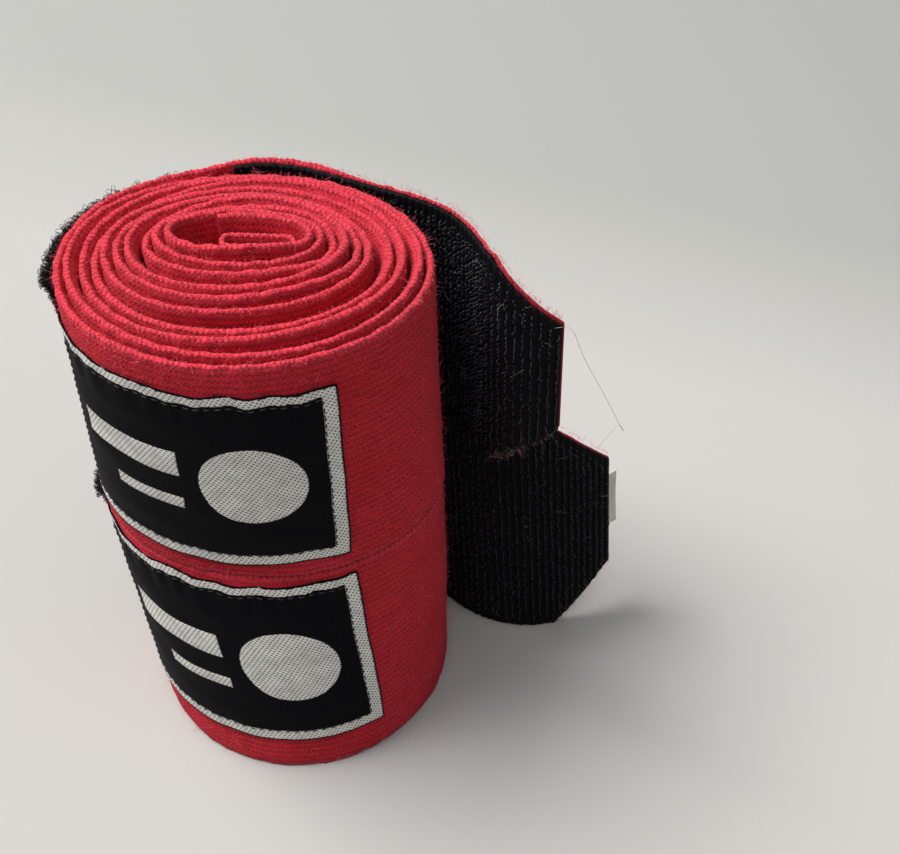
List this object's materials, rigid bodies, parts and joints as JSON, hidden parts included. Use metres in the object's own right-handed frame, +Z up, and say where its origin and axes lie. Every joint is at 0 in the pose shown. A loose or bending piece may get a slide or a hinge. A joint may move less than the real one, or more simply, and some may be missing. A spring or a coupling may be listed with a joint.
{
  "type": "hand wrap pair",
  "caption": "Pair of rolled cotton hand wraps stacked on end, each with a sewn label, a thumb loop in its core and a free end faced with hook tape.",
  "frame": {"origin": "under the middle of the pair's box, on the surface that the lower roll stands on", "axes": "+Z up along the rolls, +X towards the free ends, +Y away from the labels"},
  "size_m": [0.0997, 0.0623, 0.1073],
  "materials": {
    "cotton": "brushed red cotton with fine lengthwise ribs and a knitted edge",
    "cotton_thread": "red sewing thread",
    "hook_tape": "black nylon hook tape with a woven edge",
    "loop_tape": "black nylon loop tape with a curly pile",
    "black_thread": "black sewing thread",
    "label": "black woven satin with a pale woven border and a plain geometric figure",
    "label_thread": "grey sewing thread",
    "care_tag": "plain pale printed tape, left blank"
  },
  "bodies": {
    "lower_wrap": {"lower_band_roll": "cotton", "lower_loop_tape": "loop_tape", "lower_loop_tape_stitching": "black_thread", "lower_woven_label": "label", "lower_label_stitching": "label_thread", "lower_thumb_loop": "cotton", "lower_thumb_loop_bartack": "cotton_thread"},
    "lower_flap": {"lower_band_flap": "cotton", "lower_hook_tape": "hook_tape", "lower_hook_tape_stitching": "cotton_thread", "lower_care_tag": "care_tag"},
    "upper_wrap": {"upper_band_roll": "cotton", "upper_loop_tape": "loop_tape", "upper_loop_tape_stitching": "black_thread", "upper_woven_label": "label", "upper_label_stitching": "label_thread", "upper_thumb_loop": "cotton", "upper_thumb_loop_bartack": "cotton_thread"},
    "upper_flap": {"upper_band_flap": "cotton", "upper_hook_tape": "hook_tape", "upper_hook_tape_stitching": "cotton_thread"}
  },
  "joints": [
    {"name": "upper_wrap_lift", "type": "slide", "parent": "lower_wrap", "child": "upper_wrap", "axis": [0, 0, 1], "range_m": [0, 0.06]},
    {"name": "lower_flap_swing", "type": "hinge", "parent": "lower_wrap", "child": "lower_flap", "pos_m": [-0.01478, 0.02801, 0.025], "axis": [0, 0, 1], "range_deg": [0, 50]},
    {"name": "upper_flap_swing", "type": "hinge", "parent": "upper_wrap", "child": "upper_flap", "pos_m": [-0.02324, 0.0284, 0.0753], "axis": [0, 0, 1], "range_deg": [0, 50]}
  ]
}
